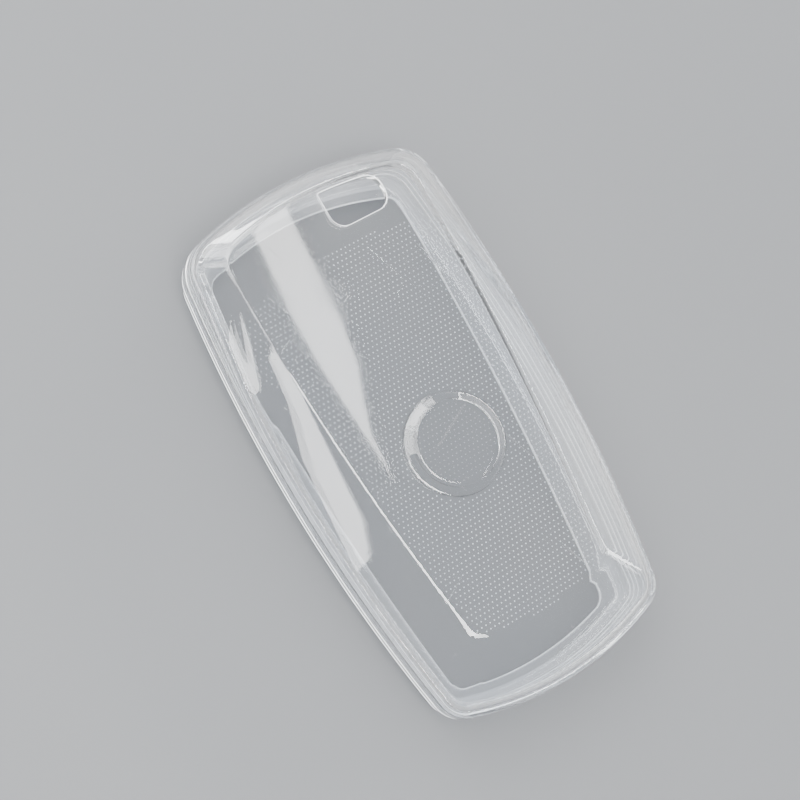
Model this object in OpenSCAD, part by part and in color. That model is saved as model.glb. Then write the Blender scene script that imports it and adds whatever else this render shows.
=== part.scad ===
// Clear key fob cover in two mouldings that meet at a seam round the side wall.
// The cover lies on its back. X is its width, +Y points to the keyring end and
// +Z points out of the front face. The origin is under the middle, on the back face.

/* [Cover] */
// Length from the keyring end to the far end
cover_length = 84; // [76:1:92]
// Width at the belly of the long sides
cover_width = 45.2; // [42:0.2:50]
// Height of the front panel above the back face
cover_depth = 16; // [15:0.5:19]
// Thickness of the side wall
side_wall = 1.25; // [1.1:0.05:1.4]
// Distance of the belly from mid length, towards the keyring end
belly_place = 5; // [0:0.5:8]
// Radius of each long side, seen from the front
side_bow = 245; // [200:5:320]
// Radius of the keyring end, seen from the front
ring_end_bow = 56; // [48:1:70]
// Radius of the far end, seen from the front
far_end_bow = 47; // [42:1:60]
// Corner radius at the keyring end
ring_corner = 6.2; // [5.4:0.2:8]
// Corner radius at the far end
far_corner = 5; // [4.6:0.2:6]
// Radius of the bulge of the side wall, seen from the end
wall_bulge = 15; // [14:0.5:24]
// Rounding of the outer back edge
back_rounding = 0.8; // [0.4:0.1:1]

/* [Seam] */
// Height of the seam above the back face
seam_height = 6.8; // [6:0.2:8]
// Height of the tongue that stands up from the back frame
tongue_height = 1.6; // [1.2:0.1:2]
// Thickness of the tongue
tongue_wall = 0.55; // [0.45:0.05:0.6]
// Clearance between the tongue and its rebate
tongue_fit = 0.06; // [0.04:0.01:0.1]
// Depth of the groove along the seam, on each moulding
seam_groove = 0.28; // [0.15:0.01:0.35]
// Proud step of the foot bead round the back frame
foot_bead = 0.25; // [0.1:0.05:0.3]
// Height of the foot bead
foot_height = 2.4; // [2:0.1:3]

/* [Back opening] */
// Thickness of the flange that holds the key in
flange_wall = 1.2; // [1:0.05:1.5]
// Width of the flange along the long sides, from the belly
side_flange = 5; // [4.6:0.1:6]
// Width of the flange at the keyring end
ring_flange = 4.6; // [4.2:0.1:6]
// Width of the flange at the far end
far_flange = 4.6; // [4.2:0.1:6]
// Distance of the widest place of the opening from mid length
opening_place = 30; // [20:1:32]
// Radius of the long sides of the opening
opening_bow = 525; // [450:25:700]
// Radius of the ends of the opening
opening_end_bow = 46; // [40:1:60]
// Corner radius of the opening
opening_corner = 2.4; // [1.6:0.2:4]
// Fillet between the flange and the side wall
flange_fillet = 1; // [0.5:0.1:1.2]

/* [Front panel] */
// Thickness of the front panel
panel_wall = 1.2; // [1:0.05:1.4]
// Width of the slope along the long sides, from the belly
side_slope = 6.5; // [6:0.1:8]
// Width of the slope at the keyring end
ring_slope = 4; // [3.6:0.1:5]
// Width of the slope at the far end
far_slope = 10.2; // [8.5:0.1:12]
// Distance of the widest place of the panel from mid length
panel_place = 30; // [20:1:32]
// Radius of the long sides of the panel
panel_bow = 400; // [350:10:600]
// Radius of the panel at the keyring end
panel_ring_bow = 50; // [44:1:60]
// Radius of the panel at the far end
panel_far_bow = 30; // [27:1:40]
// Corner radius of the panel at the keyring end
panel_ring_corner = 4; // [3:0.2:6]
// Corner radius of the panel at the far end
panel_far_corner = 4.4; // [3:0.2:5.6]
// Height of the shoulder, where the side wall meets the slope
shoulder_height = 11.8; // [11.2:0.1:12.6]
// Rise of the shoulder towards the keyring end
shoulder_rise = 1.9; // [1:0.1:2.2]
// Rounding of the shoulder
shoulder_rounding = 0.9; // [0.4:0.1:1.2]
// Rounding of the crease between the slope and the panel
crease_rounding = 0.7; // [0.3:0.1:0.8]
// Rounding of the same crease on the inside
inner_rounding = 0.3; // [0.2:0.1:0.4]

/* [Button pad] */
// Distance of the pad from mid length, towards the far end
pad_place = 4; // [2:0.2:10]
// Distance of the pad from the middle line
pad_side = 0.4; // [0:0.1:1]
// Radius of the hole in the panel that holds the foot of the skirt
pad_hole_radius = 7.7; // [6.8:0.1:8.4]
// Width of the sloping skirt round the pad
skirt_width = 1.3; // [1:0.05:1.8]
// Thickness of the skirt
skirt_wall = 0.3; // [0.25:0.05:0.4]
// Height of the pad above the panel
pad_rise = 0.9; // [0.7:0.1:1.4]
// Thickness of the pad
pad_wall = 1.1; // [0.8:0.05:1.4]
// Rounding of the upper edge of the pad
pad_edge = 0.3; // [0.1:0.05:0.4]
// Clearance between the skirt and its neighbours
skirt_fit = 0.03; // [0.02:0.01:0.06]

/* [Keyring opening] */
// Width of the keyring opening
ring_hole_width = 9.4; // [8:0.2:10.6]
// Depth of the keyring opening along the cover
ring_hole_depth = 6.1; // [5.4:0.1:6.4]
// Distance of the keyring opening from the middle line
ring_hole_place = 5.9; // [0:0.1:6.4]
// Distance of the keyring opening from the end of the cover
ring_hole_margin = 4.9; // [4.8:0.1:5.6]
// Radius of the three round corners of the keyring opening
ring_hole_corner = 2.2; // [1.4:0.1:2.4]

/* [Hidden] */
// Length by which each cut runs past the face that it opens
overrun = 1;
// Height of the widest place of the side wall
belly_height = cover_depth / 2;
// Stations along half an end, along a corner and along each half of a long side
end_stations = 5;
corner_stations = 7;
side_stations = 6;
// Segments of each round solid
round_segments = 96;
// Fall of the inner shoulder and inset of the inner crease, as shares of the wall
inner_shoulder_share = 0.6;
inner_crease_share = 0.27;
// Places between the middle and the keyring end where the shoulder starts and stops its rise
rise_start_share = 0.15;
rise_end_share = 0.85;
// Chamfer on the tip of the tongue
tongue_chamfer = tongue_wall / 3;

clear_colour = [0.84, 0.89, 0.93, 0.45];
frame_colour = [0.78, 0.84, 0.89, 0.5];
pad_colour = [0.9, 0.94, 0.97, 0.6];

// An outline is [half width, belly place, side radius,
//   end place, end radius, corner radius, far place, far radius, far corner radius]
cover_outline = [
    cover_width / 2, belly_place, side_bow,
    cover_length / 2, ring_end_bow, ring_corner,
    -cover_length / 2, far_end_bow, far_corner
];
opening_outline = [
    cover_width / 2 - side_flange, opening_place, opening_bow,
    cover_length / 2 - ring_flange, opening_end_bow, opening_corner,
    far_flange - cover_length / 2, opening_end_bow, opening_corner
];
panel_outline = [
    cover_width / 2 - side_slope, panel_place, panel_bow,
    cover_length / 2 - ring_slope, panel_ring_bow, panel_ring_corner,
    far_slope - cover_length / 2, panel_far_bow, panel_far_corner
];

// Point where two circles meet, on the side of greater y for a positive turn
function circles_meet(a, ra, b, rb, turn) =
    let (d = norm(b - a), u = (b - a) / d)
    let (k = (ra * ra - rb * rb + d * d) / (2 * d))
    let (h = sqrt(ra * ra - k * k))
    a + u * k + turn * h * [-u.y, u.x];

// Stations along an arc: each is [x, y, outward normal x, outward normal y]
function arc_stations(centre, radius, start, stop, count) = [
    for (i = [0:count - 1])
    let (a = start + (stop - start) * i / count)
    [centre.x + radius * cos(a), centre.y + radius * sin(a), cos(a), sin(a)]
];

// Right half of an outline, from the keyring end round to the far end
function half_stations(o) =
    let (side = [o[0] - o[2], o[1]])
    let (near = [0, o[3] - o[4]], far = [0, o[6] + o[7]])
    let (nc = circles_meet(side, o[2] - o[5], near, o[4] - o[5], 1))
    let (fc = circles_meet(side, o[2] - o[8], far, o[7] - o[8], -1))
    let (a1 = atan2(nc.y - near.y, nc.x - near.x), a2 = atan2(nc.y - side.y, nc.x - side.x))
    let (a3 = atan2(fc.y - side.y, fc.x - side.x), a4 = atan2(fc.y - far.y, fc.x - far.x))
    concat(
        arc_stations(near, o[4], 90, a1, end_stations),
        arc_stations(nc, o[5], a1, a2, corner_stations),
        arc_stations(side, o[2], a2, 0, side_stations),
        arc_stations(side, o[2], 0, a3, side_stations),
        arc_stations(fc, o[8], a3, a4, corner_stations),
        arc_stations(far, o[7], a4, -90, end_stations)
    );

// Whole outline: the right half, the far end and the mirrored left half
function stations(o) =
    let (half = half_stations(o), n = len(half))
    concat(
        half,
        [[0, o[6], 0, -1]],
        [for (i = [n - 1:-1:1]) [-half[i][0], half[i][1], -half[i][2], half[i][3]]]
    );

function at(s, inset, z) = [s[0] - s[2] * inset, s[1] - s[3] * inset, z];
function ring(list, inset, z) = [for (s = list) at(s, inset, z)];
function mix(a, b, share) = a + (b - a) * share;
function smooth(t) = let (u = min(1, max(0, t))) u * u * (3 - 2 * u);

// Inset of the bulging side wall from its belly at a height
function bulge(z) = pow(z - belly_height, 2) / (2 * wall_bulge);
// Height of the shoulder at a place along the cover
function shoulder(y) = shoulder_height + shoulder_rise
    * smooth((y * 2 / cover_length - rise_start_share) / (rise_end_share - rise_start_share));

cover = stations(cover_outline);
panel = stations(panel_outline);
count = len(cover);

// Closed solid through rings of equal length, from the lowest to the highest
module loft(rings) {
    last = len(rings) - 1;
    polyhedron(
        points = [for (r = rings) each r],
        faces = concat(
            [[for (i = [count - 1:-1:0]) i]],
            [for (k = [0:last - 1], i = [0:count - 1])
                let (j = (i + 1) % count)
                each [
                    [k * count + i, (k + 1) * count + j, (k + 1) * count + i],
                    [k * count + i, k * count + j, (k + 1) * count + j]
                ]],
            [[for (i = [0:count - 1]) last * count + i]]
        )
    );
}

// Ring of the slope between the shoulder and the crease, moved along it from one of its edges
function slope_ring(depth, from_shoulder, run) = [
    for (i = [0:count - 1])
    let (ends = slope_ends(i, depth), s = ends[0], c = ends[1])
    let (share = run / norm(c - s))
    from_shoulder ? mix(s, c, share) : mix(c, s, share)
];
// Shoulder point and crease point of one station, below the outer surface by a depth
function slope_ends(i, depth) =
    let (z = shoulder(cover[i][1]))
    [
        at(cover[i], bulge(z) + depth, z - depth * inner_shoulder_share),
        at(panel[i], depth * inner_crease_share, cover_depth - depth)
    ];
// Ring half way round a rounded edge, whose sharp line lies between two rings
function round_ring(before, edge, after) = [
    for (i = [0:count - 1]) (before[i] + 2 * edge[i] + after[i]) / 4
];
function edge_ring(depth, which) = [for (i = [0:count - 1]) slope_ends(i, depth)[which]];
// Ring of the side wall, at a share of the way from a height up to the shoulder
function wall_ring(depth, low, share) = [
    for (s = cover)
    let (top = shoulder(s[1]) - depth * inner_shoulder_share - shoulder_rounding)
    let (z = mix(low, top, share))
    at(s, bulge(z) + depth, z)
];

// Rings from the side wall over the shoulder and the slope to the flat of the panel
function dome_rings(depth, low, crease) =
    let (wall_top = wall_ring(depth, low, 1))
    let (slope_low = slope_ring(depth, true, shoulder_rounding))
    let (slope_high = slope_ring(depth, false, crease))
    let (flat = ring(panel, crease + depth * inner_crease_share, cover_depth - depth))
    [
        wall_ring(depth, low, 0),
        wall_ring(depth, low, 1 / 2),
        wall_top,
        round_ring(wall_top, edge_ring(depth, 0), slope_low),
        slope_low,
        slope_high,
        round_ring(slope_high, edge_ring(depth, 1), flat),
        flat
    ];

seam_inset = bulge(seam_height);
rebate_inset = seam_inset + side_wall - tongue_wall - tongue_fit;
tongue_inset = seam_inset + side_wall - tongue_wall;
tongue_top = seam_height + tongue_height;

// Hole with three round corners, whose top follows the keyring end
module keyring_hole() {
    low_x = ring_hole_place - ring_hole_width / 2;
    high_x = low_x + ring_hole_width;
    low_y = cover_length / 2 - ring_hole_margin - ring_hole_depth;
    bow_y = cover_length / 2 - ring_hole_margin - ring_end_bow;
    r = ring_hole_corner;
    // Centre of the upper round corner, which touches both the side and the top
    top_y = bow_y + sqrt(pow(ring_end_bow - r, 2) - pow(high_x - r, 2));
    translate([0, 0, tongue_top + tongue_fit])
        linear_extrude(cover_depth)
            intersection() {
                translate([0, bow_y]) circle(ring_end_bow, $fn = round_segments);
                union() {
                    translate([low_x, low_y + r])
                        square([ring_hole_width - r, ring_hole_depth]);
                    translate([low_x + r, low_y])
                        square([ring_hole_width - 2 * r, ring_hole_depth]);
                    translate([low_x, low_y + r])
                        square([ring_hole_width, top_y - low_y - r]);
                    for (p = [[low_x + r, low_y + r], [high_x - r, low_y + r], [high_x - r, top_y]])
                        translate(p) circle(r, $fn = round_segments);
                }
            }
}

// Upper moulding: the flat panel, its slopes and the upper half of the side wall
module front_shell() {
    groove_high = seam_height + seam_groove;
    color(clear_colour)
    difference() {
        loft(concat(
            [
                ring(cover, seam_inset + seam_groove, seam_height),
                ring(cover, bulge(groove_high), groove_high)
            ],
            dome_rings(0, belly_height, crease_rounding)
        ));
        loft(concat(
            [
                ring(cover, rebate_inset, seam_height - overrun),
                ring(cover, rebate_inset, tongue_top + tongue_fit)
            ],
            dome_rings(side_wall, tongue_top + tongue_fit, inner_rounding)
        ));
        translate([pad_side, -pad_place, cover_depth - panel_wall - overrun])
            cylinder(r = pad_hole_radius, h = panel_wall + 2 * overrun, $fn = round_segments);
        keyring_hole();
    }
}

// Lower moulding: the flange round the back opening, the foot bead and the tongue
module back_frame() {
    groove_low = seam_height - seam_groove;
    color(frame_colour)
    difference() {
        loft([
            ring(cover, bulge(0) + back_rounding, 0),
            ring(cover, bulge(0) + back_rounding / 4, back_rounding / 4),
            ring(cover, bulge(back_rounding), back_rounding),
            ring(cover, bulge(foot_height) - foot_bead, foot_height - foot_bead),
            ring(cover, bulge(foot_height), foot_height),
            ring(cover, bulge(mix(foot_height, groove_low, 1 / 2)), mix(foot_height, groove_low, 1 / 2)),
            ring(cover, bulge(groove_low), groove_low),
            ring(cover, seam_inset + seam_groove, seam_height),
            ring(cover, tongue_inset, seam_height),
            ring(cover, tongue_inset, tongue_top - tongue_chamfer),
            ring(cover, tongue_inset + tongue_chamfer, tongue_top)
        ]);
        loft([
            ring(cover, bulge(flange_wall) + side_wall + flange_fillet, flange_wall),
            ring(cover, bulge(flange_wall) + side_wall + flange_fillet / 4, flange_wall + flange_fillet / 4),
            ring(cover, bulge(flange_wall + flange_fillet) + side_wall, flange_wall + flange_fillet),
            ring(cover, bulge(foot_height) + side_wall, mix(foot_height, seam_height, 1 / 3)),
            ring(cover, seam_inset + side_wall, seam_height),
            ring(cover, seam_inset + side_wall, tongue_top + overrun)
        ]);
        translate([0, 0, -overrun])
            linear_extrude(flange_wall + 2 * overrun)
                polygon([for (s = stations(opening_outline)) [s[0], s[1]]]);
    }
}

// Thin sloping ring that carries the pad and gives when the pad is pressed
module pad_skirt() {
    foot = pad_hole_radius - skirt_fit;
    neck = pad_hole_radius - skirt_width + skirt_fit;
    low = cover_depth;
    high = cover_depth + pad_rise - pad_edge;
    color(pad_colour)
    translate([pad_side, -pad_place, 0])
        rotate_extrude($fn = round_segments)
            polygon([
                [foot, low - skirt_wall],
                [foot, low],
                [neck, high],
                [neck, high - skirt_wall]
            ]);
}

// Round pad over the middle button of the key
module button_pad() {
    radius = pad_hole_radius - skirt_width;
    top = cover_depth + pad_rise;
    color(pad_colour)
    translate([pad_side, -pad_place, 0])
        rotate_extrude($fn = round_segments)
            polygon([
                [0, top - pad_wall],
                [radius, top - pad_wall],
                [radius, top - pad_edge],
                [radius - pad_edge / 3, top - pad_edge / 3],
                [radius - pad_edge, top],
                [0, top]
            ]);
}

back_frame();
front_shell();
pad_skirt();
button_pad();
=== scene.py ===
import math
import bpy
import bmesh
from mathutils import Matrix, Vector
from mathutils.bvhtree import BVHTree


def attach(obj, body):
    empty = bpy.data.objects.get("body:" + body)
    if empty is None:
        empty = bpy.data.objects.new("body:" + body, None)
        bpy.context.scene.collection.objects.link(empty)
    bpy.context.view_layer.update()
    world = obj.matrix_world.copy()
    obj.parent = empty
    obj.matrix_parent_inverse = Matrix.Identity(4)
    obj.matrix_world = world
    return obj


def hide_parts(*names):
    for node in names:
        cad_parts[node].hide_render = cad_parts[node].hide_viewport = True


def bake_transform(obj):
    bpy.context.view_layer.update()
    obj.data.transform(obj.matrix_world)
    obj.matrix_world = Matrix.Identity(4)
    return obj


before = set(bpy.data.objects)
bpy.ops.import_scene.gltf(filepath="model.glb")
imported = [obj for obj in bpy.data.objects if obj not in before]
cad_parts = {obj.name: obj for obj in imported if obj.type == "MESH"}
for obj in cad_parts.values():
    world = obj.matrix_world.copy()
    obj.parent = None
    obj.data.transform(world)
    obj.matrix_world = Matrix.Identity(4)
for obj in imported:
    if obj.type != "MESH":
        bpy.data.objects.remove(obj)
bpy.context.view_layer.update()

MM = 0.001

# Sizes of the cover, in millimetres. The wall is widest at BELLY, and BULGE is the radius of its curve
COVER_LENGTH = 84.0
COVER_WIDTH = 45.2
COVER_DEPTH = 16.0
WALL = 1.25
BELLY = 8.0
BULGE = 15.0

# The shoulder between the wall and the slope climbs towards the ring end, the end with the keyring opening
SHOULDER = 11.8
SHOULDER_CLIMB = 1.9
CLIMB_START_SHARE = 0.15
CLIMB_RUN_SHARE = 0.7
SHOULDER_EASE = 0.9

# At a depth inside the surface the shoulder sinks and the crease moves in, by these shares of the depth
SINK_SHARE = 0.6
SHIFT_SHARE = 0.27

# The crease round the panel, and how it eases out towards the corners of the plain end
CREASE = 0.6
INNER_CREASE = 0.3
CREASE_FLAT_SHARE = 0.8
CORNER_EASE = 1.3
EASE_FROM_LOW = 24.0
EASE_LOW_RUN = 6.0
EASE_FROM_MIDDLE = 4.0
EASE_SIDE_RUN = 5.0

# The seam, and the tongue of the back moulding in the rebate of the front one
SEAM = 6.8
GROOVE = 0.28
GROOVE_LIP = 0.05
TONGUE_TOP = 8.4
TONGUE_WALL = 0.55
TONGUE_FIT = 0.06
TONGUE_CHAMFER = 0.18
TONGUE_INNER_CHAMFER = 0.08

# The foot of the back moulding, the bead above it, and the flange round the open back
FOOT_SOFT = 0.8
FOOT_BEAD = 0.25
FOOT_HEIGHT = 2.4
FLANGE = 1.2
FLANGE_FILLET = 1.0
FLANGE_LIP = 0.3

# The fine ribs inside the wall. Their places are shares of the way up the front one and down the back one
RIB = 0.05
RIB_HALF_SHARE = 0.04
FRONT_RIB_SHARES = (0.22, 0.5, 0.78)
BACK_RIB_SHARES = (0.2, 0.5, 0.8)

# The keyring opening, its corners and its two rims
KEYRING_LEFT = 1.2
KEYRING_RIGHT = 10.6
KEYRING_LOW = 31.0
KEYRING_TOP = 37.1
KEYRING_CORNER = 2.2
KEYRING_SMALL_CORNER = 0.35
RIM = 0.2
RIM_FOOT = 0.08

# The press pad and its web, with a hair's gap between the web and what it joins
PAD_X = 0.4
PAD_Y = -4.0
PAD_HOLE = 7.7
PAD_RADIUS = 6.4
PAD_RISE = 0.9
PAD_DEPTH = 1.1
PAD_EDGE = 0.5
PAD_CHAMFER = 0.1
WEB = 0.3
WEB_GAP = 0.005

# The slope of the web eases in from FOOT_PITCH and out again, each over EASE_SHARE of the way
FOOT_PITCH = 0.472
STEEPEN = 1.65
EASE_SHARE = 0.2

# Narrow flat borders of the filled faces: at the panel's edge, at the keyring opening and at the pad's top
PANEL_BORDER = 0.04
SMALL_BORDER = 0.03

# The moulded dots: radius and relief, their shape, and their spacing
PANEL_DOT = (0.11, 0.05)
PAD_DOT = (0.075, 0.04)
DOT_TIP_SHARE = 0.55
DOT_SIDES = 6
DOT_STEP = 0.735
DOT_ROW = 0.769
DOT_DOUBLINGS = 6

# Where the dots end: at the panel's edge, round the pad and round the keyring opening
DOT_MARGIN = 0.9
DOT_PAD_MARGIN = 0.35
DOT_KEYRING_MARGIN = 0.5
DOT_SPREAD = 4.2
DOT_SPREAD_FROM = 8.0
DOT_SPREAD_RUN = 12.0
DOT_SPREAD_END_SHARE = 0.3

# Steps round a soft edge and a thin rim, up the two walls, across the web and over the pad's edge
ROUND_STEPS = 8
RIM_STEPS = 4
FRONT_WALL_STEPS = 8
BACK_WALL_STEPS = 6
WEB_STEPS = 12
PAD_EDGE_STEPS = 5

# Material slots of a clear piece, after its own plastic
DULLED, JOINED = 1, 2

# The curve of the ring end, which the keyring opening follows
RING_BOW = 56.0

# An outline: half its width, where that is and the sides' radius, then each end's place, radius and corners
COVER_LINE = (COVER_WIDTH / 2, 5.0, 245.0, COVER_LENGTH / 2, RING_BOW, 6.2, -COVER_LENGTH / 2, 47.0, 5.0)
OPENING_LINE = (17.6, 30.0, 525.0, 37.4, 46.0, 2.4, -37.4, 46.0, 2.4)
PANEL_LINE = (16.1, 30.0, 400.0, 38.0, 50.0, 4.0, -31.8, 30.0, 4.4)


# Outlines and rings

def circles_meet(a, ra, b, rb, turn):
    """Where two circles cross. Looking from a to b, turn is 1 for the left crossing and -1 for the right."""
    d = (b - a).length
    u = (b - a) / d
    k = (ra * ra - rb * rb + d * d) / (2 * d)
    h = math.sqrt(ra * ra - k * k)
    return a + u * k + Vector((-u.y, u.x)) * (turn * h)


def arc(centre, radius, start, stop, count):
    """Stations along an arc: x, y and the outward normal."""
    stations = []
    for i in range(count):
        a = start + (stop - start) * i / count
        nx, ny = math.cos(a), math.sin(a)
        stations.append((centre.x + radius * nx, centre.y + radius * ny, nx, ny))
    return stations


def outline(line, ends=16, corners=14, sides=24):
    """Stations round a cover-shaped outline: x, y and the outward normal."""
    half, belly, bow, ring_end, ring_bow, ring_corner, plain_end, plain_bow, plain_corner = line
    side = Vector((half - bow, belly))
    ring = Vector((0, ring_end - ring_bow))
    plain = Vector((0, plain_end + plain_bow))
    ring_turn = circles_meet(side, bow - ring_corner, ring, ring_bow - ring_corner, 1)
    plain_turn = circles_meet(side, bow - plain_corner, plain, plain_bow - plain_corner, -1)
    a1 = math.atan2(ring_turn.y - ring.y, ring_turn.x - ring.x)
    a2 = math.atan2(ring_turn.y - side.y, ring_turn.x - side.x)
    a3 = math.atan2(plain_turn.y - side.y, plain_turn.x - side.x)
    a4 = math.atan2(plain_turn.y - plain.y, plain_turn.x - plain.x)
    right = (
        arc(ring, ring_bow, math.pi / 2, a1, ends)
        + arc(ring_turn, ring_corner, a1, a2, corners)
        + arc(side, bow, a2, 0, sides)
        + arc(side, bow, 0, a3, sides)
        + arc(plain_turn, plain_corner, a3, a4, corners)
        + arc(plain, plain_bow, a4, -math.pi / 2, ends)
    )
    left = [(-x, y, -nx, ny) for x, y, nx, ny in reversed(right[1:])]
    return right + [(0.0, plain_end, 0.0, -1.0)] + left


COVER = outline(COVER_LINE)
OPENING = outline(OPENING_LINE)
FRONT = outline(PANEL_LINE)


def place(station, inset, z):
    x, y, nx, ny = station
    return Vector((x - nx * inset, y - ny * inset, z))


def level_ring(stations, inset, z):
    return [place(s, inset, z) for s in stations]


def bulge(z):
    """How far the wall lies inside its widest outline at a height."""
    return (z - BELLY) ** 2 / (2 * BULGE)


def smooth(t):
    t = min(1.0, max(0.0, t))
    return t * t * (3 - 2 * t)


def shoulder(y):
    """Height of the shoulder at a place along the cover."""
    return SHOULDER + SHOULDER_CLIMB * smooth((y * 2 / COVER_LENGTH - CLIMB_START_SHARE) / CLIMB_RUN_SHARE)


def lay_ring(bm, points):
    """A first closed ring of edges, laid on the points."""
    ring = bmesh.ops.create_circle(bm, cap_ends=False, segments=len(points), radius=1.0)["verts"]
    for v, p in zip(ring, points):
        v.co = p
    return ring


def ring_edges(ring):
    edges = []
    for a, b in zip(ring, ring[1:] + ring[:1]):
        edges.append(next(e for e in a.link_edges if e.other_vert(a) is b))
    return edges


def draw_on(bm, ring, points, slot):
    """Extrudes a ring and lays the new one on the points. slot is the material slot of the new faces."""
    out = bmesh.ops.extrude_edge_only(bm, edges=ring_edges(ring))["geom"]
    for f in out:
        if isinstance(f, bmesh.types.BMFace):
            f.smooth = True
            f.material_index = slot
    fresh = {v for v in out if isinstance(v, bmesh.types.BMVert)}
    drawn = [next(e.other_vert(v) for e in v.link_edges if e.other_vert(v) in fresh) for v in ring]
    for v, p in zip(drawn, points):
        v.co = p
    return drawn


def draw_through(bm, ring, rings, dulled=(), joined=()):
    """Draws a ring on through others. dulled and joined number the steps whose faces take those finishes."""
    for k, points in enumerate(rings):
        ring = draw_on(bm, ring, points, DULLED if k in dulled else JOINED if k in joined else 0)
    return ring


def close_loop(bm, first, last):
    """Joins the last ring of a closed section back to its first."""
    for f in bmesh.ops.bridge_loops(bm, edges=ring_edges(first) + ring_edges(last))["faces"]:
        f.smooth = True


def rounded(before, edge, after):
    """Rings round a soft edge, from one flank to the other."""
    rings = []
    for k in range(1, ROUND_STEPS):
        t = k / ROUND_STEPS
        rings.append([
            a * (1 - t) ** 2 + b * (2 * t * (1 - t)) + c * t ** 2
            for a, b, c in zip(before, edge, after)
        ])
    return rings


def rim_rings(points_at, top, foot, round_top, round_foot, steps):
    """Rings down through a hole whose two rims are softly rounded."""
    rings = []
    for k in range(1, steps + 1):
        a = math.pi / 2 * k / steps
        rings.append(points_at(round_top * (1 - math.sin(a)), top - round_top * (1 - math.cos(a))))
    for k in range(0, steps + 1):
        a = math.pi / 2 * k / steps
        rings.append(points_at(round_foot * (1 - math.cos(a)), foot + round_foot * (1 - math.sin(a))))
    return rings


def rib_places(shares):
    """Each rib's foot, ridge and other foot: the share of the way, and how far it stands proud there."""
    places = []
    for share in shares:
        places += [(share - RIB_HALF_SHARE, 0.0), (share, RIB), (share + RIB_HALF_SHARE, 0.0)]
    return places


def rib_steps(first, shares):
    """The step up to the ridge of each rib. first is the step to the foot of the first rib."""
    return {first + 3 * k + 1 for k in range(len(shares))}


def flat_fill(bm, loops, up):
    """Fills a flat face between an outer loop and the loops of its holes. up is 1 or -1."""
    edges = [e for loop in loops for e in ring_edges(loop)]
    bmesh.ops.triangle_fill(bm, use_beauty=True, use_dissolve=False, edges=edges, normal=(0, 0, up))


def pad_circle(radius, z, count=120):
    turn = [2 * math.pi * i / count for i in range(count)]
    return [Vector((PAD_X + radius * math.sin(a), PAD_Y + radius * math.cos(a), z)) for a in turn]


def link_mesh(bm, name):
    """Makes an object of a mesh and puts it in the scene."""
    mesh = bpy.data.meshes.new(name)
    bm.to_mesh(mesh)
    bm.free()
    thing = bpy.data.objects.new(name, mesh)
    bpy.context.scene.collection.objects.link(thing)
    return thing


def finish_piece(bm, name, sharp=40.0):
    """Scales a mesh to metres, turns its faces out and makes its object. sharp is in degrees."""
    bmesh.ops.recalc_face_normals(bm, faces=bm.faces[:])
    bmesh.ops.scale(bm, vec=(MM, MM, MM), verts=bm.verts[:])
    piece = link_mesh(bm, name)
    piece.data.set_sharp_from_angle(angle=math.radians(sharp))
    # The filled flats are the only three-sided faces, and they stay truly flat
    for p in piece.data.polygons:
        p.use_smooth = len(p.vertices) > 3
    return piece


# The front moulding

def slope_ends(i, depth):
    """The sharp foot and the sharp top of the slope at a station, at a depth inside the surface."""
    z = shoulder(COVER[i][1])
    foot = place(COVER[i], bulge(z) + depth, z - depth * SINK_SHARE)
    return foot, place(FRONT[i], depth * SHIFT_SHARE, COVER_DEPTH - depth)


def softer(i):
    """The crease is sharp along the sides and eases out towards the two corners of the plain end."""
    x, y = FRONT[i][:2]
    to_plain_end = smooth((-y - EASE_FROM_LOW) / EASE_LOW_RUN)
    return 1.0 + CORNER_EASE * to_plain_end * smooth((abs(x) - EASE_FROM_MIDDLE) / EASE_SIDE_RUN)


def along_slope(depth, run, from_shoulder):
    """A ring on the slope, a run away from the shoulder or from the crease."""
    ring = []
    for i in range(len(COVER)):
        low, high = slope_ends(i, depth)
        share = (run if from_shoulder else run * softer(i)) / (high - low).length
        ring.append(low.lerp(high, share) if from_shoulder else high.lerp(low, share))
    return ring


def wall_ring(depth, low, share):
    """A ring on the side wall, a share of the way from a height up to just under the shoulder."""
    ring = []
    for s in COVER:
        top = shoulder(s[1]) - depth * SINK_SHARE - SHOULDER_EASE
        z = low + (top - low) * share
        ring.append(place(s, bulge(z) + depth, z))
    return ring


def dome(depth, low, crease, wall_steps):
    """Rings up the side wall, over the shoulder and the slope, to the edge of the flat panel."""
    corners = [slope_ends(i, depth) for i in range(len(COVER))]
    wall_top = wall_ring(depth, low, 1.0)
    slope_low = along_slope(depth, SHOULDER_EASE, True)
    slope_high = along_slope(depth, crease, False)

    def flat_ring(beyond):
        ring = []
        for i, s in enumerate(FRONT):
            inset = crease * softer(i) * CREASE_FLAT_SHARE + depth * SHIFT_SHARE + beyond
            ring.append(place(s, inset, COVER_DEPTH - depth))
        return ring

    flat = flat_ring(0.0)
    return (
        [wall_ring(depth, low, k / wall_steps) for k in range(1, wall_steps)]
        + [wall_top]
        + rounded(wall_top, [c[0] for c in corners], slope_low)
        + [slope_low]
        + [[a.lerp(b, k / 3) for a, b in zip(slope_low, slope_high)] for k in (1, 2)]
        + [slope_high]
        + rounded(slope_high, [c[1] for c in corners], flat)
        + [flat, flat_ring(PANEL_BORDER)]
    )


def draw_outside(bm, seam_ring):
    """The outside of the front moulding, from the seam's groove up to the panel."""
    top, lip_top = SEAM + GROOVE, SEAM + GROOVE + 2 * GROOVE_LIP
    lip = [
        level_ring(COVER, bulge(top) + GROOVE_LIP, top - GROOVE_LIP),
        level_ring(COVER, bulge(lip_top), lip_top),
        wall_ring(0, BELLY, 0.0),
    ]
    return draw_through(bm, seam_ring, lip + dome(0.0, BELLY, CREASE, FRONT_WALL_STEPS), dulled={0})


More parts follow.
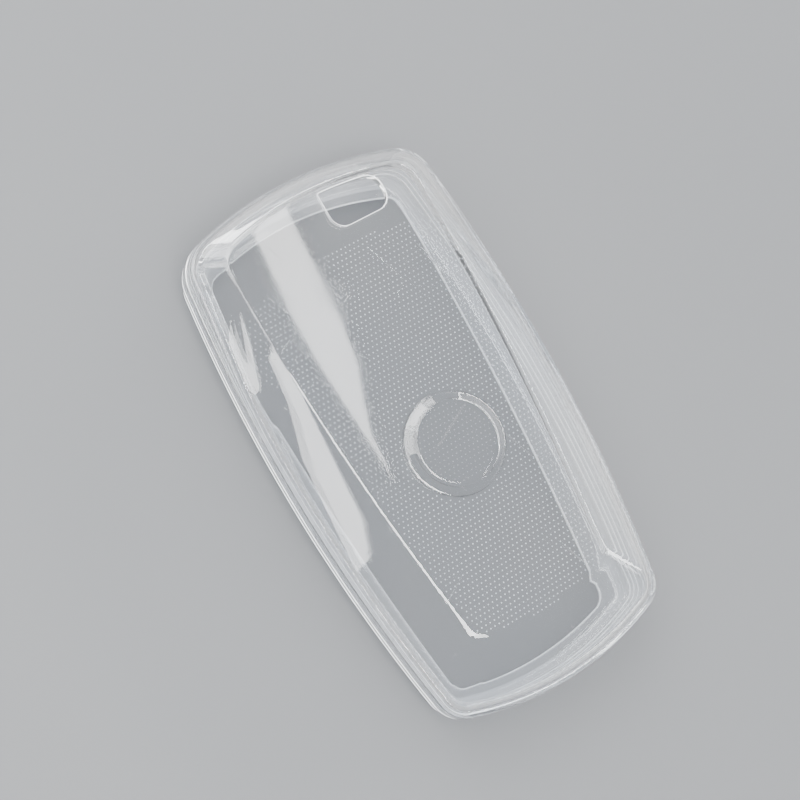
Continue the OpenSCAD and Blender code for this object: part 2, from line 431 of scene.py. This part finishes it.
def draw_inside(bm, seam_ring):
    """The inside of the front moulding, from the rebate over the ribs up to the panel."""
    rebate = bulge(SEAM) + WALL - TONGUE_WALL - TONGUE_FIT
    low = TONGUE_TOP + TONGUE_FIT
    step = [level_ring(COVER, rebate, SEAM), level_ring(COVER, rebate, low), wall_ring(WALL, low, 0.0)]
    ribs = [wall_ring(WALL + proud, low, share) for share, proud in rib_places(FRONT_RIB_SHARES)]
    return draw_through(
        bm, seam_ring, step + ribs + dome(WALL, low, INNER_CREASE, wall_steps=1),
        dulled=rib_steps(len(step), FRONT_RIB_SHARES),
    )


def keyring_points(grow, z, steps=10, top_steps=8):
    """The keyring opening: three round corners, a small one, and a top that follows the ring end."""
    low_x, high_x, low_y = KEYRING_LEFT - grow, KEYRING_RIGHT + grow, KEYRING_LOW - grow
    r, small = KEYRING_CORNER + grow, KEYRING_SMALL_CORNER
    bow, bow_y = RING_BOW + grow, KEYRING_TOP - RING_BOW
    right_y = bow_y + math.sqrt((bow - r) ** 2 - (high_x - r) ** 2)
    left_y = bow_y + math.sqrt((bow - small) ** 2 - (low_x + small) ** 2)
    corners = (
        (low_x + small, left_y, small, math.pi, math.atan2(left_y - bow_y, low_x + small)),
        (high_x - r, right_y, r, math.atan2(right_y - bow_y, high_x - r), 0.0),
        (high_x - r, low_y + r, r, 0.0, -math.pi / 2),
        (low_x + r, low_y + r, r, -math.pi / 2, -math.pi),
    )
    points = []
    for x, y, radius, start, stop in corners:
        for k in range(steps + 1):
            a = start + (stop - start) * k / steps
            points.append(Vector((x + radius * math.cos(a), y + radius * math.sin(a), z)))
    # The long top is bowed, so it gets points of its own
    a, b = points[steps], points[steps + 1]
    top = []
    for k in range(1, top_steps):
        x = a.x + (b.x - a.x) * k / top_steps
        top.append(Vector((x, bow_y + math.sqrt(bow ** 2 - x ** 2), z)))
    return points[: steps + 1] + top + points[steps + 1:]


def cut_keyring(bm):
    """The wall of the keyring opening. Gives its upper and its lower ring."""
    front, back = COVER_DEPTH, COVER_DEPTH - WALL
    upper = lay_ring(bm, keyring_points(RIM + SMALL_BORDER, front))
    rims = rim_rings(keyring_points, front, back, RIM, RIM_FOOT, RIM_STEPS)
    # The middle of each rounded rim is dulled
    lower = draw_through(
        bm, upper,
        [keyring_points(RIM, front)] + rims + [keyring_points(RIM_FOOT + SMALL_BORDER, back)],
        dulled={2, 3, RIM_STEPS + 3, RIM_STEPS + 4},
    )
    return upper, lower


def cut_pad_hole(bm):
    """The wall of the pad's hole, with the web moulded on to its top. Gives its upper and its lower ring."""
    front, back = COVER_DEPTH, COVER_DEPTH - WALL
    upper = lay_ring(bm, pad_circle(PAD_HOLE, front))
    lower = draw_through(
        bm, upper,
        [
            pad_circle(PAD_HOLE, front - WEB),
            pad_circle(PAD_HOLE, back + PAD_CHAMFER),
            pad_circle(PAD_HOLE + PAD_CHAMFER, back),
        ],
        joined={0},
    )
    return upper, lower


def make_front_shell():
    bm = bmesh.new()
    seam_ring = lay_ring(bm, level_ring(COVER, bulge(SEAM) + GROOVE, SEAM))
    outer = draw_outside(bm, seam_ring)
    inner = draw_inside(bm, seam_ring)
    holes = [cut_keyring(bm), cut_pad_hole(bm)]
    flat_fill(bm, [outer] + [upper for upper, lower in holes], 1)
    flat_fill(bm, [inner] + [lower for upper, lower in holes], -1)
    return finish_piece(bm, "clear_front_shell")


# The back moulding

def foot_rings(first):
    """From the flat of the foot round its soft edge and up over the bead."""
    soft_top = level_ring(COVER, bulge(FOOT_SOFT), FOOT_SOFT)
    rings = rounded(first, level_ring(COVER, bulge(0), 0.0), soft_top) + [soft_top]
    bead = FOOT_HEIGHT - FOOT_BEAD
    for k in (1, 2):
        z = FOOT_SOFT + (bead - FOOT_SOFT) * k / 2
        rings.append(level_ring(COVER, bulge(z) - FOOT_BEAD * k / 2, z))
    return rings + [level_ring(COVER, bulge(FOOT_HEIGHT), FOOT_HEIGHT)]


def back_wall_rings():
    """Up the outside from the bead to the seam's groove."""
    run = SEAM - GROOVE - FOOT_HEIGHT
    heights = [FOOT_HEIGHT + run * k / BACK_WALL_STEPS for k in range(1, BACK_WALL_STEPS + 1)]
    return [level_ring(COVER, bulge(z), z) for z in heights]


def tongue_rings():
    """Into the groove, and up and over the tongue."""
    outside = bulge(SEAM) + WALL - TONGUE_WALL
    inside = bulge(SEAM) + WALL
    return [
        level_ring(COVER, bulge(SEAM) + GROOVE, SEAM),
        level_ring(COVER, outside, SEAM),
        level_ring(COVER, outside, TONGUE_TOP - TONGUE_CHAMFER),
        level_ring(COVER, outside + TONGUE_CHAMFER, TONGUE_TOP),
        level_ring(COVER, inside - TONGUE_INNER_CHAMFER, TONGUE_TOP),
        level_ring(COVER, inside, TONGUE_TOP - TONGUE_INNER_CHAMFER),
        level_ring(COVER, inside, SEAM),
    ]


def back_inside_rings():
    """Down the inside over the ribs, and out over the fillet on to the flange."""
    top_in, mid_in = bulge(SEAM) + WALL, bulge(FOOT_HEIGHT) + WALL
    # The ribs lie between the seam and a third of the way up to it from the bead
    mid = FOOT_HEIGHT + (SEAM - FOOT_HEIGHT) / 3
    ribs = [
        level_ring(COVER, top_in + (mid_in - top_in) * share + proud, SEAM + (mid - SEAM) * share)
        for share, proud in rib_places(BACK_RIB_SHARES)
    ]
    fillet_z = FLANGE + FLANGE_FILLET
    fillet_top = level_ring(COVER, bulge(fillet_z) + WALL, fillet_z)
    fillet_foot = level_ring(COVER, bulge(FLANGE) + WALL + FLANGE_FILLET, FLANGE)
    corner = level_ring(COVER, bulge(FLANGE) + WALL, FLANGE)
    fillet = [fillet_top] + rounded(fillet_top, corner, fillet_foot) + [fillet_foot]
    return ribs + [level_ring(COVER, mid_in, mid)] + fillet


def opening_points(grow, z):
    """The open back, grown by a distance."""
    return level_ring(OPENING, -grow, z)


def make_back_frame():
    bm = bmesh.new()
    first_points = level_ring(COVER, bulge(0) + FOOT_SOFT, 0.0)
    first = lay_ring(bm, first_points)
    rows = foot_rings(first_points)
    over_bead = len(rows) - 1
    rows += back_wall_rings()
    into_groove = len(rows)
    rows += tongue_rings()
    first_rib = len(rows)
    rows += back_inside_rings()
    to_lip = len(rows)
    rows += [opening_points(FLANGE_LIP, FLANGE)]
    rows += rim_rings(opening_points, FLANGE, 0.0, FLANGE_LIP, FLANGE_LIP, ROUND_STEPS)
    dulled = {over_bead, into_groove} | rib_steps(first_rib, BACK_RIB_SHARES)
    # The upper rounding of the flange's lip is dulled too, but for its first two steps
    dulled |= set(range(to_lip + 3, to_lip + ROUND_STEPS + 1))
    last = draw_through(bm, first, rows, dulled=dulled)
    close_loop(bm, first, last)
    return finish_piece(bm, "clear_back_frame")


# The press pad

def pad_slope(radius):
    """Height of the front over the web and the pad's edge: an even slope, eased at its foot and its top."""
    share = (PAD_HOLE - radius) / (PAD_HOLE - PAD_RADIUS + PAD_EDGE)
    side = min(share, 1 - share)
    eased = min(side, EASE_SHARE)
    climb = FOOT_PITCH * side + STEEPEN * eased * (2 * side - eased)
    return COVER_DEPTH + PAD_RISE * (climb if share < 0.5 else 1 - climb)


def make_pad_skirt():
    foot, neck = PAD_HOLE - WEB_GAP, PAD_RADIUS + WEB_GAP
    bm = bmesh.new()

    def ring(k, drop):
        radius = foot + (neck - foot) * (k / WEB_STEPS)
        return pad_circle(radius, pad_slope(radius) - drop)

    first = lay_ring(bm, ring(0, WEB))
    over = [ring(k, 0.0) for k in range(0, WEB_STEPS + 1)]
    under = [ring(k, WEB) for k in range(WEB_STEPS, 0, -1)]
    last = draw_through(bm, first, over + under, joined={0, len(over)})
    close_loop(bm, first, last)
    return finish_piece(bm, "clear_pad_skirt")


def make_button_pad():
    top = COVER_DEPTH + PAD_RISE
    foot = top - PAD_DEPTH
    bm = bmesh.new()
    upper = lay_ring(bm, pad_circle(PAD_RADIUS - PAD_EDGE - SMALL_BORDER, top))
    edge = [PAD_RADIUS - PAD_EDGE * (1 - k / PAD_EDGE_STEPS) for k in range(0, PAD_EDGE_STEPS + 1)]
    rings = [pad_circle(r, pad_slope(r)) for r in edge] + [
        pad_circle(PAD_RADIUS, pad_slope(PAD_RADIUS) - WEB),
        pad_circle(PAD_RADIUS, foot + PAD_CHAMFER),
        pad_circle(PAD_RADIUS - PAD_CHAMFER, foot),
    ]
    lower = draw_through(bm, upper, rings, joined={len(edge)})
    flat_fill(bm, [upper], 1)
    flat_fill(bm, [lower], -1)
    return finish_piece(bm, "clear_button_pad")


# The moulded dots inside the panel

def inside_front(x, y, margin):
    """True if a point lies inside the flat of the panel by a margin."""
    half, belly, bow, ring_end, ring_bow, _, plain_end, plain_bow, _ = PANEL_LINE
    ax = abs(x)
    return (
        math.hypot(ax - (half - bow), y - belly) < bow - margin
        and math.hypot(ax, y - (ring_end - ring_bow)) < ring_bow - margin
        and math.hypot(ax, y - (plain_end + plain_bow)) < plain_bow - margin
    )


def from_pad(x, y):
    return math.hypot(x - PAD_X, y - PAD_Y)


def height_under(piece, z):
    """How far the underside of a piece is above or below a level, over each place. Sizes in millimetres."""
    mesh = piece.data
    tree = BVHTree.FromPolygons([v.co for v in mesh.vertices], [p.vertices for p in mesh.polygons])
    # The rays start in the hollow of the cover
    start = 10.0

    def at(x, y):
        spot = tree.ray_cast(Vector((x * MM, y * MM, start * MM)), Vector((0, 0, 1)))[0]
        return 0.0 if spot is None else spot.z / MM - z

    return at


def copy_dots(bm, dots, stride):
    """Doubles the dots again and again. Each copy lies twice as far away as the one before it."""
    for k in range(DOT_DOUBLINGS):
        edges = {e for v in dots for e in v.link_edges}
        faces = {f for v in dots for f in v.link_faces}
        copy = bmesh.ops.duplicate(bm, geom=dots + list(edges) + list(faces))["geom"]
        fresh = [v for v in copy if isinstance(v, bmesh.types.BMVert)]
        bmesh.ops.translate(bm, vec=stride * 2 ** k, verts=fresh)
        dots = dots + fresh
    return dots


def make_dots(name, size, z, keep, lift):
    """Rows of tiny domes under a face, each row shifted by half a step. keep says which places have one."""
    radius, relief = size
    step, row_pair = DOT_STEP, 2 * DOT_ROW
    half = 2 ** DOT_DOUBLINGS // 2
    bm = bmesh.new()
    for shift in (Vector((0, 0, 0)), Vector((step / 2, DOT_ROW, 0))):
        dots = bmesh.ops.create_cone(
            bm, cap_ends=True, cap_tris=False, segments=DOT_SIDES,
            radius1=radius * DOT_TIP_SHARE, radius2=radius, depth=relief,
            matrix=Matrix.Translation((0, 0, z - relief / 2)),
        )["verts"]
        origin = Vector((-half * step, -half * row_pair, 0)) + shift
        bmesh.ops.translate(bm, vec=origin, verts=dots)
        dots = copy_dots(bm, dots, Vector((step, 0, 0)))
        dots = copy_dots(bm, dots, Vector((0, row_pair, 0)))
        drop, lifts = [], {}
        for v in dots:
            spot = (round((v.co.x - origin.x) / step), round((v.co.y - origin.y) / row_pair))
            if spot not in lifts:
                x, y = origin.x + spot[0] * step, origin.y + spot[1] * row_pair
                lifts[spot] = lift(x, y) if keep(x, y) else None
            if lifts[spot] is None:
                drop.append(v)
            else:
                v.co.z += lifts[spot]
        bmesh.ops.delete(bm, geom=drop, context="VERTS")
    return finish_piece(bm, name, sharp=30.0)


def panel_has_dot(x, y):
    # Towards the ring end the dots run on down the slopes
    spread = DOT_SPREAD * smooth((y - DOT_SPREAD_FROM) / DOT_SPREAD_RUN)
    inner_x = math.copysign(max(0.0, abs(x) - spread), x)
    if not inside_front(inner_x, y - DOT_SPREAD_END_SHARE * spread, DOT_MARGIN):
        return False
    if from_pad(x, y) < PAD_HOLE + DOT_PAD_MARGIN:
        return False
    in_line = KEYRING_LEFT - DOT_KEYRING_MARGIN < x < KEYRING_RIGHT + DOT_KEYRING_MARGIN
    return not (in_line and y > KEYRING_LOW - DOT_KEYRING_MARGIN)


def pad_has_dot(x, y):
    return from_pad(x, y) < PAD_RADIUS - PAD_EDGE


# Materials

PLASTIC_IOR = 1.5
RELIEF_DEPTH = 0.0002

# Roughness of clean plastic, and how much a smudge and a scratch add
POLISH = 0.025
SMUDGE_ROUGHNESS = 0.05
SCRATCH_ROUGHNESS = 0.18

# How strong the flow lines and the scratches are beside the waves
FLOW_SHARE = 0.18
SCRATCH_SHARE = 0.03

# Colours: fresh and aged plastic, the shade that it casts, and the two ends of the dots' mottle
FRESH_TINT = (0.955, 0.970, 0.985, 1.0)
AGED_TINT = (0.975, 0.975, 0.970, 1.0)
SHADE = (0.62, 0.635, 0.655, 1.0)
DOT_DARK = (0.3, (0.24, 0.26, 0.285, 1.0))
DOT_LIGHT = (0.7, (0.42, 0.44, 0.46, 1.0))
DOT_ROUGHNESS = (0.45, 0.7)


def bare_material(name):
    """A material without nodes: the material, its nodes and its links."""
    mat = bpy.data.materials.new(name)
    mat.use_nodes = True
    mat.node_tree.nodes.clear()
    return mat, mat.node_tree.nodes, mat.node_tree.links


def set_ramp(ramp, low, high):
    """Sets a colour ramp's two ends. Each is a place on the ramp and its colour."""
    for element, (position, colour) in zip(ramp.color_ramp.elements, (low, high)):
        element.position = position
        element.color = colour


def group_socket(tree, name, kind, way, value=None):
    s = tree.interface.new_socket(name=name, in_out=way, socket_type=kind)
    if value is not None:
        s.default_value = value


def moulded_finish():
    """Marks of a moulded and handled clear plastic: waves, flow lines, smudges and hair scratches."""
    tree = bpy.data.node_groups.new("moulded finish", "ShaderNodeTree")
    group_socket(tree, "Place", "NodeSocketVector", "INPUT")
    for name in ("Waves", "Smudges", "Scratches"):
        group_socket(tree, name, "NodeSocketFloat", "INPUT", 1.0)
    group_socket(tree, "Height", "NodeSocketFloat", "OUTPUT")
    group_socket(tree, "Roughness", "NodeSocketFloat", "OUTPUT")
    group_socket(tree, "Tint", "NodeSocketColor", "OUTPUT")
    n, l = tree.nodes, tree.links
    gin, gout = n.new("NodeGroupInput"), n.new("NodeGroupOutput")

    def noise(scale, detail, rough, stretch=None, turn=0.0):
        t = n.new("ShaderNodeTexNoise")
        t.inputs["Scale"].default_value = scale
        t.inputs["Detail"].default_value = detail
        t.inputs["Roughness"].default_value = rough
        if stretch is None:
            l.new(gin.outputs["Place"], t.inputs["Vector"])
        else:
            m = n.new("ShaderNodeMapping")
            m.vector_type = "TEXTURE"
            m.inputs["Scale"].default_value = stretch
            m.inputs["Rotation"].default_value = (0, 0, turn)
            l.new(gin.outputs["Place"], m.inputs["Vector"])
            l.new(m.outputs["Vector"], t.inputs["Vector"])
        return t.outputs["Fac"]

    def math_of(op, a, b):
        m = n.new("ShaderNodeMath")
        m.operation = op
        for k, x in enumerate((a, b)):
            if isinstance(x, (int, float)):
                m.inputs[k].default_value = x
            else:
                l.new(x, m.inputs[k])
        return m.outputs[0]

    def between(x, low, high):
        m = n.new("ShaderNodeMapRange")
        m.interpolation_type = "SMOOTHSTEP"
        m.inputs["From Min"].default_value = low
        m.inputs["From Max"].default_value = high
        l.new(x, m.inputs["Value"])
        return m.outputs["Result"]

    # Broad waves and faint flow lines along the moulding
    waves = noise(scale=110.0, detail=2.0, rough=0.4)
    flow = noise(scale=60.0, detail=3.0, rough=0.5, stretch=(0.17, 2.0, 1.0))
    height = math_of("ADD", waves, math_of("MULTIPLY", flow, FLOW_SHARE))
    height = math_of("MULTIPLY", height, gin.outputs["Waves"])
    # Short hair scratches, slanting two ways
    hair = noise(scale=900.0, detail=2.0, rough=0.5, stretch=(1.0, 22.0, 1.0), turn=0.35)
    cross = noise(scale=800.0, detail=2.0, rough=0.5, stretch=(1.0, 16.0, 1.0), turn=-1.1)
    marks = math_of("MAXIMUM", between(hair, low=0.72, high=0.76), between(cross, low=0.73, high=0.77))
    marks = math_of("MULTIPLY", marks, gin.outputs["Scratches"])
    height = math_of("SUBTRACT", height, math_of("MULTIPLY", marks, SCRATCH_SHARE))
    l.new(height, gout.inputs["Height"])
    # Smudges where it is held
    smudge = between(noise(scale=70.0, detail=4.0, rough=0.55), low=0.50, high=0.72)
    smudge = math_of("MULTIPLY", smudge, gin.outputs["Smudges"])
    rough = math_of("ADD", POLISH, math_of("MULTIPLY", smudge, SMUDGE_ROUGHNESS))
    rough = math_of("ADD", rough, math_of("MULTIPLY", marks, SCRATCH_ROUGHNESS))
    l.new(rough, gout.inputs["Roughness"])
    # The plastic is a little warmer where the light has aged it
    warm = between(noise(scale=25.0, detail=2.0, rough=0.5), low=0.35, high=0.7)
    tint = n.new("ShaderNodeMix")
    tint.data_type = "RGBA"
    tint.inputs["A"].default_value = FRESH_TINT
    tint.inputs["B"].default_value = AGED_TINT
    l.new(warm, tint.inputs["Factor"])
    l.new(tint.outputs["Result"], gout.inputs["Tint"])
    return tree


FINISH = moulded_finish()


def clear_plastic(name, haze, waves, smudges, scratches, bump, matte=0.0):
    """A clear plastic with the moulded finish. haze is the share that isn't clear, matte adds roughness."""
    mat, n, l = bare_material(name)
    out = n.new("ShaderNodeOutputMaterial")
    body = n.new("ShaderNodeBsdfPrincipled")
    body.inputs["IOR"].default_value = PLASTIC_IOR
    body.inputs["Transmission Weight"].default_value = 1.0 - haze
    coords = n.new("ShaderNodeTexCoord")
    finish = n.new("ShaderNodeGroup")
    finish.node_tree = FINISH
    finish.inputs["Waves"].default_value = waves
    finish.inputs["Smudges"].default_value = smudges
    finish.inputs["Scratches"].default_value = scratches
    l.new(coords.outputs["Object"], finish.inputs["Place"])
    l.new(finish.outputs["Tint"], body.inputs["Base Color"])
    rough = finish.outputs["Roughness"]
    if matte:
        dull = n.new("ShaderNodeMath")
        dull.operation = "ADD"
        dull.inputs[1].default_value = matte
        l.new(rough, dull.inputs[0])
        rough = dull.outputs[0]
    l.new(rough, body.inputs["Roughness"])
    relief = n.new("ShaderNodeBump")
    relief.inputs["Strength"].default_value = bump
    relief.inputs["Distance"].default_value = RELIEF_DEPTH
    l.new(finish.outputs["Height"], relief.inputs["Height"])
    l.new(relief.outputs["Normal"], body.inputs["Normal"])
    # Lamps shine through it onto what is behind
    path = n.new("ShaderNodeLightPath")
    light = n.new("ShaderNodeMath")
    light.operation = "MAXIMUM"
    l.new(path.outputs["Is Shadow Ray"], light.inputs[0])
    l.new(path.outputs["Is Diffuse Ray"], light.inputs[1])
    through = n.new("ShaderNodeBsdfTransparent")
    through.inputs["Color"].default_value = SHADE
    mix = n.new("ShaderNodeMixShader")
    l.new(light.outputs[0], mix.inputs[0])
    l.new(body.outputs[0], mix.inputs[1])
    l.new(through.outputs[0], mix.inputs[2])
    l.new(mix.outputs[0], out.inputs["Surface"])
    return mat


def hidden_joint(name):
    """Where two pieces of one clear moulding meet, no air is between them, so the faces don't show."""
    mat, n, l = bare_material(name)
    out, clear = n.new("ShaderNodeOutputMaterial"), n.new("ShaderNodeBsdfTransparent")
    l.new(clear.outputs[0], out.inputs["Surface"])
    return mat


def frosted_dot(name):
    """A pale, mottled and slightly rough plastic."""
    mat, n, l = bare_material(name)
    out, body = n.new("ShaderNodeOutputMaterial"), n.new("ShaderNodeBsdfPrincipled")
    l.new(body.outputs[0], out.inputs["Surface"])
    body.inputs["IOR"].default_value = PLASTIC_IOR
    coords = n.new("ShaderNodeTexCoord")
    mottle = n.new("ShaderNodeTexNoise")
    mottle.inputs["Scale"].default_value = 240.0
    mottle.inputs["Detail"].default_value = 2.0
    l.new(coords.outputs["Object"], mottle.inputs["Vector"])
    ramp = n.new("ShaderNodeValToRGB")
    set_ramp(ramp, DOT_DARK, DOT_LIGHT)
    l.new(mottle.outputs["Fac"], ramp.inputs["Fac"])
    l.new(ramp.outputs["Color"], body.inputs["Base Color"])
    rough = n.new("ShaderNodeMapRange")
    rough.inputs["To Min"].default_value, rough.inputs["To Max"].default_value = DOT_ROUGHNESS
    l.new(mottle.outputs["Fac"], rough.inputs["Value"])
    l.new(rough.outputs["Result"], body.inputs["Roughness"])
    return mat


def dress(piece, mats, body, slot_name, *nodes):
    """Gives a piece its materials, the body that it rides and the nodes that it replaces. The slot name is
    not used.
    """
    for mat in mats:
        piece.data.materials.append(mat)
    if body is not None:
        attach(piece, body)
    if nodes:
        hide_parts(*nodes)
    return piece


shell_plastic = clear_plastic(
    "clear shell plastic", haze=0.014, waves=0.07, smudges=0.35, scratches=1.0, bump=0.06)
frame_plastic = clear_plastic(
    "clear frame plastic", haze=0.15, waves=0.5, smudges=0.6, scratches=0.6, bump=0.06)
pad_plastic = clear_plastic(
    "clear pad plastic", haze=0.014, waves=0.2, smudges=1.2, scratches=1.2, bump=0.04)
moulded_edge = clear_plastic(
    "dulled moulded edge", haze=0.45, waves=0.5, smudges=0.4, scratches=0.4, bump=0.1, matte=0.3)
joint = hidden_joint("hidden joint")
dot_plastic = frosted_dot("frosted dots")

shell_finishes = (shell_plastic, moulded_edge, joint)
frame_finishes = (frame_plastic, moulded_edge)
pad_finishes = (pad_plastic, moulded_edge, joint)

front_shell = dress(make_front_shell(), shell_finishes, "shell", "clear_shell", "front_shell")
dress(make_back_frame(), frame_finishes, "frame", "clear_frame", "back_frame")
dress(make_button_pad(), pad_finishes, "button", "clear_pad", "button_pad")
pad_skirt = dress(make_pad_skirt(), pad_finishes, None, "clear_pad", "pad_skirt")
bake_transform(pad_skirt)

under_panel = COVER_DEPTH - WALL
under_pad = COVER_DEPTH + PAD_RISE - PAD_DEPTH
panel_lift = height_under(front_shell, under_panel)
panel_dots = make_dots("panel_dots", PANEL_DOT, under_panel, panel_has_dot, panel_lift)
dress(panel_dots, (dot_plastic,), "shell", "clear_shell")
pad_dots = make_dots("pad_dots", PAD_DOT, under_pad, pad_has_dot, lambda x, y: 0.0)
dress(pad_dots, (dot_plastic,), "button", "clear_pad")


# Floor, lights and camera, in metres

FLOOR_HALF = 1.5
FLOOR_GREY = (0.068, 0.070, 0.0735, 1.0)
FLOOR_ROUGHNESS = 0.75

# Each lamp: name, centre, direction of the long side, width, length and glow. The first only fills the shade
FILL_LAMP = ("overhead fill", (0.0, 0.0, 1.6), (1, 0, 0), 5.0, 5.0, 2.8)
MIRRORED_LAMPS = (
    ("window", (-0.135, -0.0925, 0.58), (0, 1, 0), 0.19, 0.315, 48.0),
    ("window foot", (-0.02, -0.25, 0.58), (0, 1, 0), 0.20, 0.07, 30.0),
    ("broad left", (-0.25, 0.28, 0.58), (-0.12, 1, 0), 0.39, 0.44, 9.0),
    ("left of the slope", (-0.53, 0.0, 0.53), (0, 1, 0), 0.085, 0.17, 18.0),
    ("near window", (-0.06, 0.58, 0.50), (-0.35, 1, 0), 0.44, 0.66, 9.0),
    ("far left", (0.05, 0.66, 0.50), (0.87, 0.49, 0), 0.12, 0.60, 8.0),
    ("low right", (0.69, 0.11, 0.28), (-0.16, 1, 0), 0.08, 0.80, 34.0),
    ("low near", (0.10, -0.75, 0.17), (1, 0, 0), 0.07, 0.90, 45.0),
    ("low far", (0.0, 0.76, 0.15), (1, 0, 0), 0.07, 0.90, 45.0),
    ("low left", (-0.76, 0.0, 0.15), (0, 1, 0), 0.07, 0.90, 45.0),
)
LAMPS_AIM = Vector((0, 0, 0.01))

# The wedge on the panel: a straight left edge, and a right edge that closes in to a thin tail
WEDGE_CARD = (
    (0.1820, 0.001), (0.1838, 0.028), (0.1893, 0.045), (0.1960, 0.062), (0.1998, 0.085),
    (0.2030, 0.125), (0.2060, 0.170), (0.2060, 0.240), (0.1860, 0.240), (0.1840, 0.150),
    (0.1790, 0.100), (0.1785, 0.070), (0.1805, 0.035),
)
WEDGE_HEIGHT = 0.60
WEDGE_GLOW = 18.0

# The sky's colours, from bright near the table to dim overhead, each with its height on a dome of radius 1
SKY_LOW = (0.08, (1.0, 1.0, 1.0, 1.0))
SKY_HIGH = (0.36, (0.085, 0.095, 0.11, 1.0))
SKY_STRENGTH = 2.5

# The camera, with its lens and sensor in millimetres
SENSOR_WIDTH = 36.0
LENS_LENGTH = 81.0
NEAREST_SEEN = 0.01
CAMERA_PLACE = (-0.0901, -0.0077, 0.2574)
CAMERA_TURN = ((0.8229, 0.4578, -0.3366), (-0.5012, 0.8639, -0.0503), (0.2677, 0.2101, 0.9403))


def make_floor():
    bm = bmesh.new()
    bmesh.ops.create_grid(bm, x_segments=1, y_segments=1, size=FLOOR_HALF)
    floor = link_mesh(bm, "floor")
    mat, n, l = bare_material("pale floor")
    out, body = n.new("ShaderNodeOutputMaterial"), n.new("ShaderNodeBsdfPrincipled")
    l.new(body.outputs[0], out.inputs["Surface"])
    body.inputs["Base Color"].default_value = FLOOR_GREY
    body.inputs["Roughness"].default_value = FLOOR_ROUGHNESS
    floor.data.materials.append(mat)


def glowing_card(name, height, corners, glow):
    """A flat card that glows. The panel mirrors its shape, and it isn't seen by itself."""
    bm = bmesh.new()
    bm.faces.new([bm.verts.new((x, y, height)) for x, y in corners])
    card = link_mesh(bm, name)
    mat, n, l = bare_material(name)
    out, shine = n.new("ShaderNodeOutputMaterial"), n.new("ShaderNodeEmission")
    shine.inputs["Strength"].default_value = glow
    l.new(shine.outputs[0], out.inputs["Surface"])
    card.data.materials.append(mat)
    card.visible_camera = False
    card.visible_shadow = False


def soft_light(name, centre, along, width, length, glow, mirrored=True):
    """An even lamp aimed at the cover, its long side along a direction. glow is how bright its face is.

    One that isn't mirrored only fills the shade."""
    z = (Vector(centre) - LAMPS_AIM).normalized()
    y = (Vector(along) - z * z.dot(Vector(along))).normalized()
    x = y.cross(z)
    data = bpy.data.lights.new(name, "AREA")
    data.shape = "RECTANGLE"
    data.size, data.size_y = width, length
    data.energy = glow * math.pi * (width * length)
    lamp = bpy.data.objects.new(name, data)
    lamp.visible_camera = False
    lamp.visible_glossy = lamp.visible_transmission = mirrored
    lamp.matrix_world = Matrix.Translation(centre) @ Matrix((x, y, z)).transposed().to_4x4()
    bpy.context.scene.collection.objects.link(lamp)


def studio_sky():
    """Soft light from all round, bright near the table and dim overhead."""
    world = bpy.data.worlds.new("studio")
    bpy.context.scene.world = world
    world.use_nodes = True
    n, l = world.node_tree.nodes, world.node_tree.links
    look = n.new("ShaderNodeTexCoord")
    split = n.new("ShaderNodeSeparateXYZ")
    l.new(look.outputs["Generated"], split.inputs[0])
    ramp = n.new("ShaderNodeValToRGB")
    ramp.color_ramp.interpolation = "EASE"
    set_ramp(ramp, SKY_LOW, SKY_HIGH)
    l.new(split.outputs["Z"], ramp.inputs["Fac"])
    l.new(ramp.outputs["Color"], n["Background"].inputs["Color"])
    n["Background"].inputs["Strength"].default_value = SKY_STRENGTH


def place_camera():
    """The camera stands where the photo's camera stood, as fitted to the outline in the photo."""
    lens = bpy.data.cameras.new("camera")
    lens.sensor_width = SENSOR_WIDTH
    lens.lens = LENS_LENGTH
    lens.clip_start = NEAREST_SEEN
    camera = bpy.data.objects.new("camera", lens)
    camera.matrix_world = Matrix.Translation(CAMERA_PLACE) @ Matrix(CAMERA_TURN).to_4x4()
    bpy.context.scene.collection.objects.link(camera)
    bpy.context.scene.camera = camera


make_floor()
glowing_card("wedge card", WEDGE_HEIGHT, WEDGE_CARD, WEDGE_GLOW)
soft_light(*FILL_LAMP, mirrored=False)
for lamp_values in MIRRORED_LAMPS:
    soft_light(*lamp_values)
studio_sky()
place_camera()
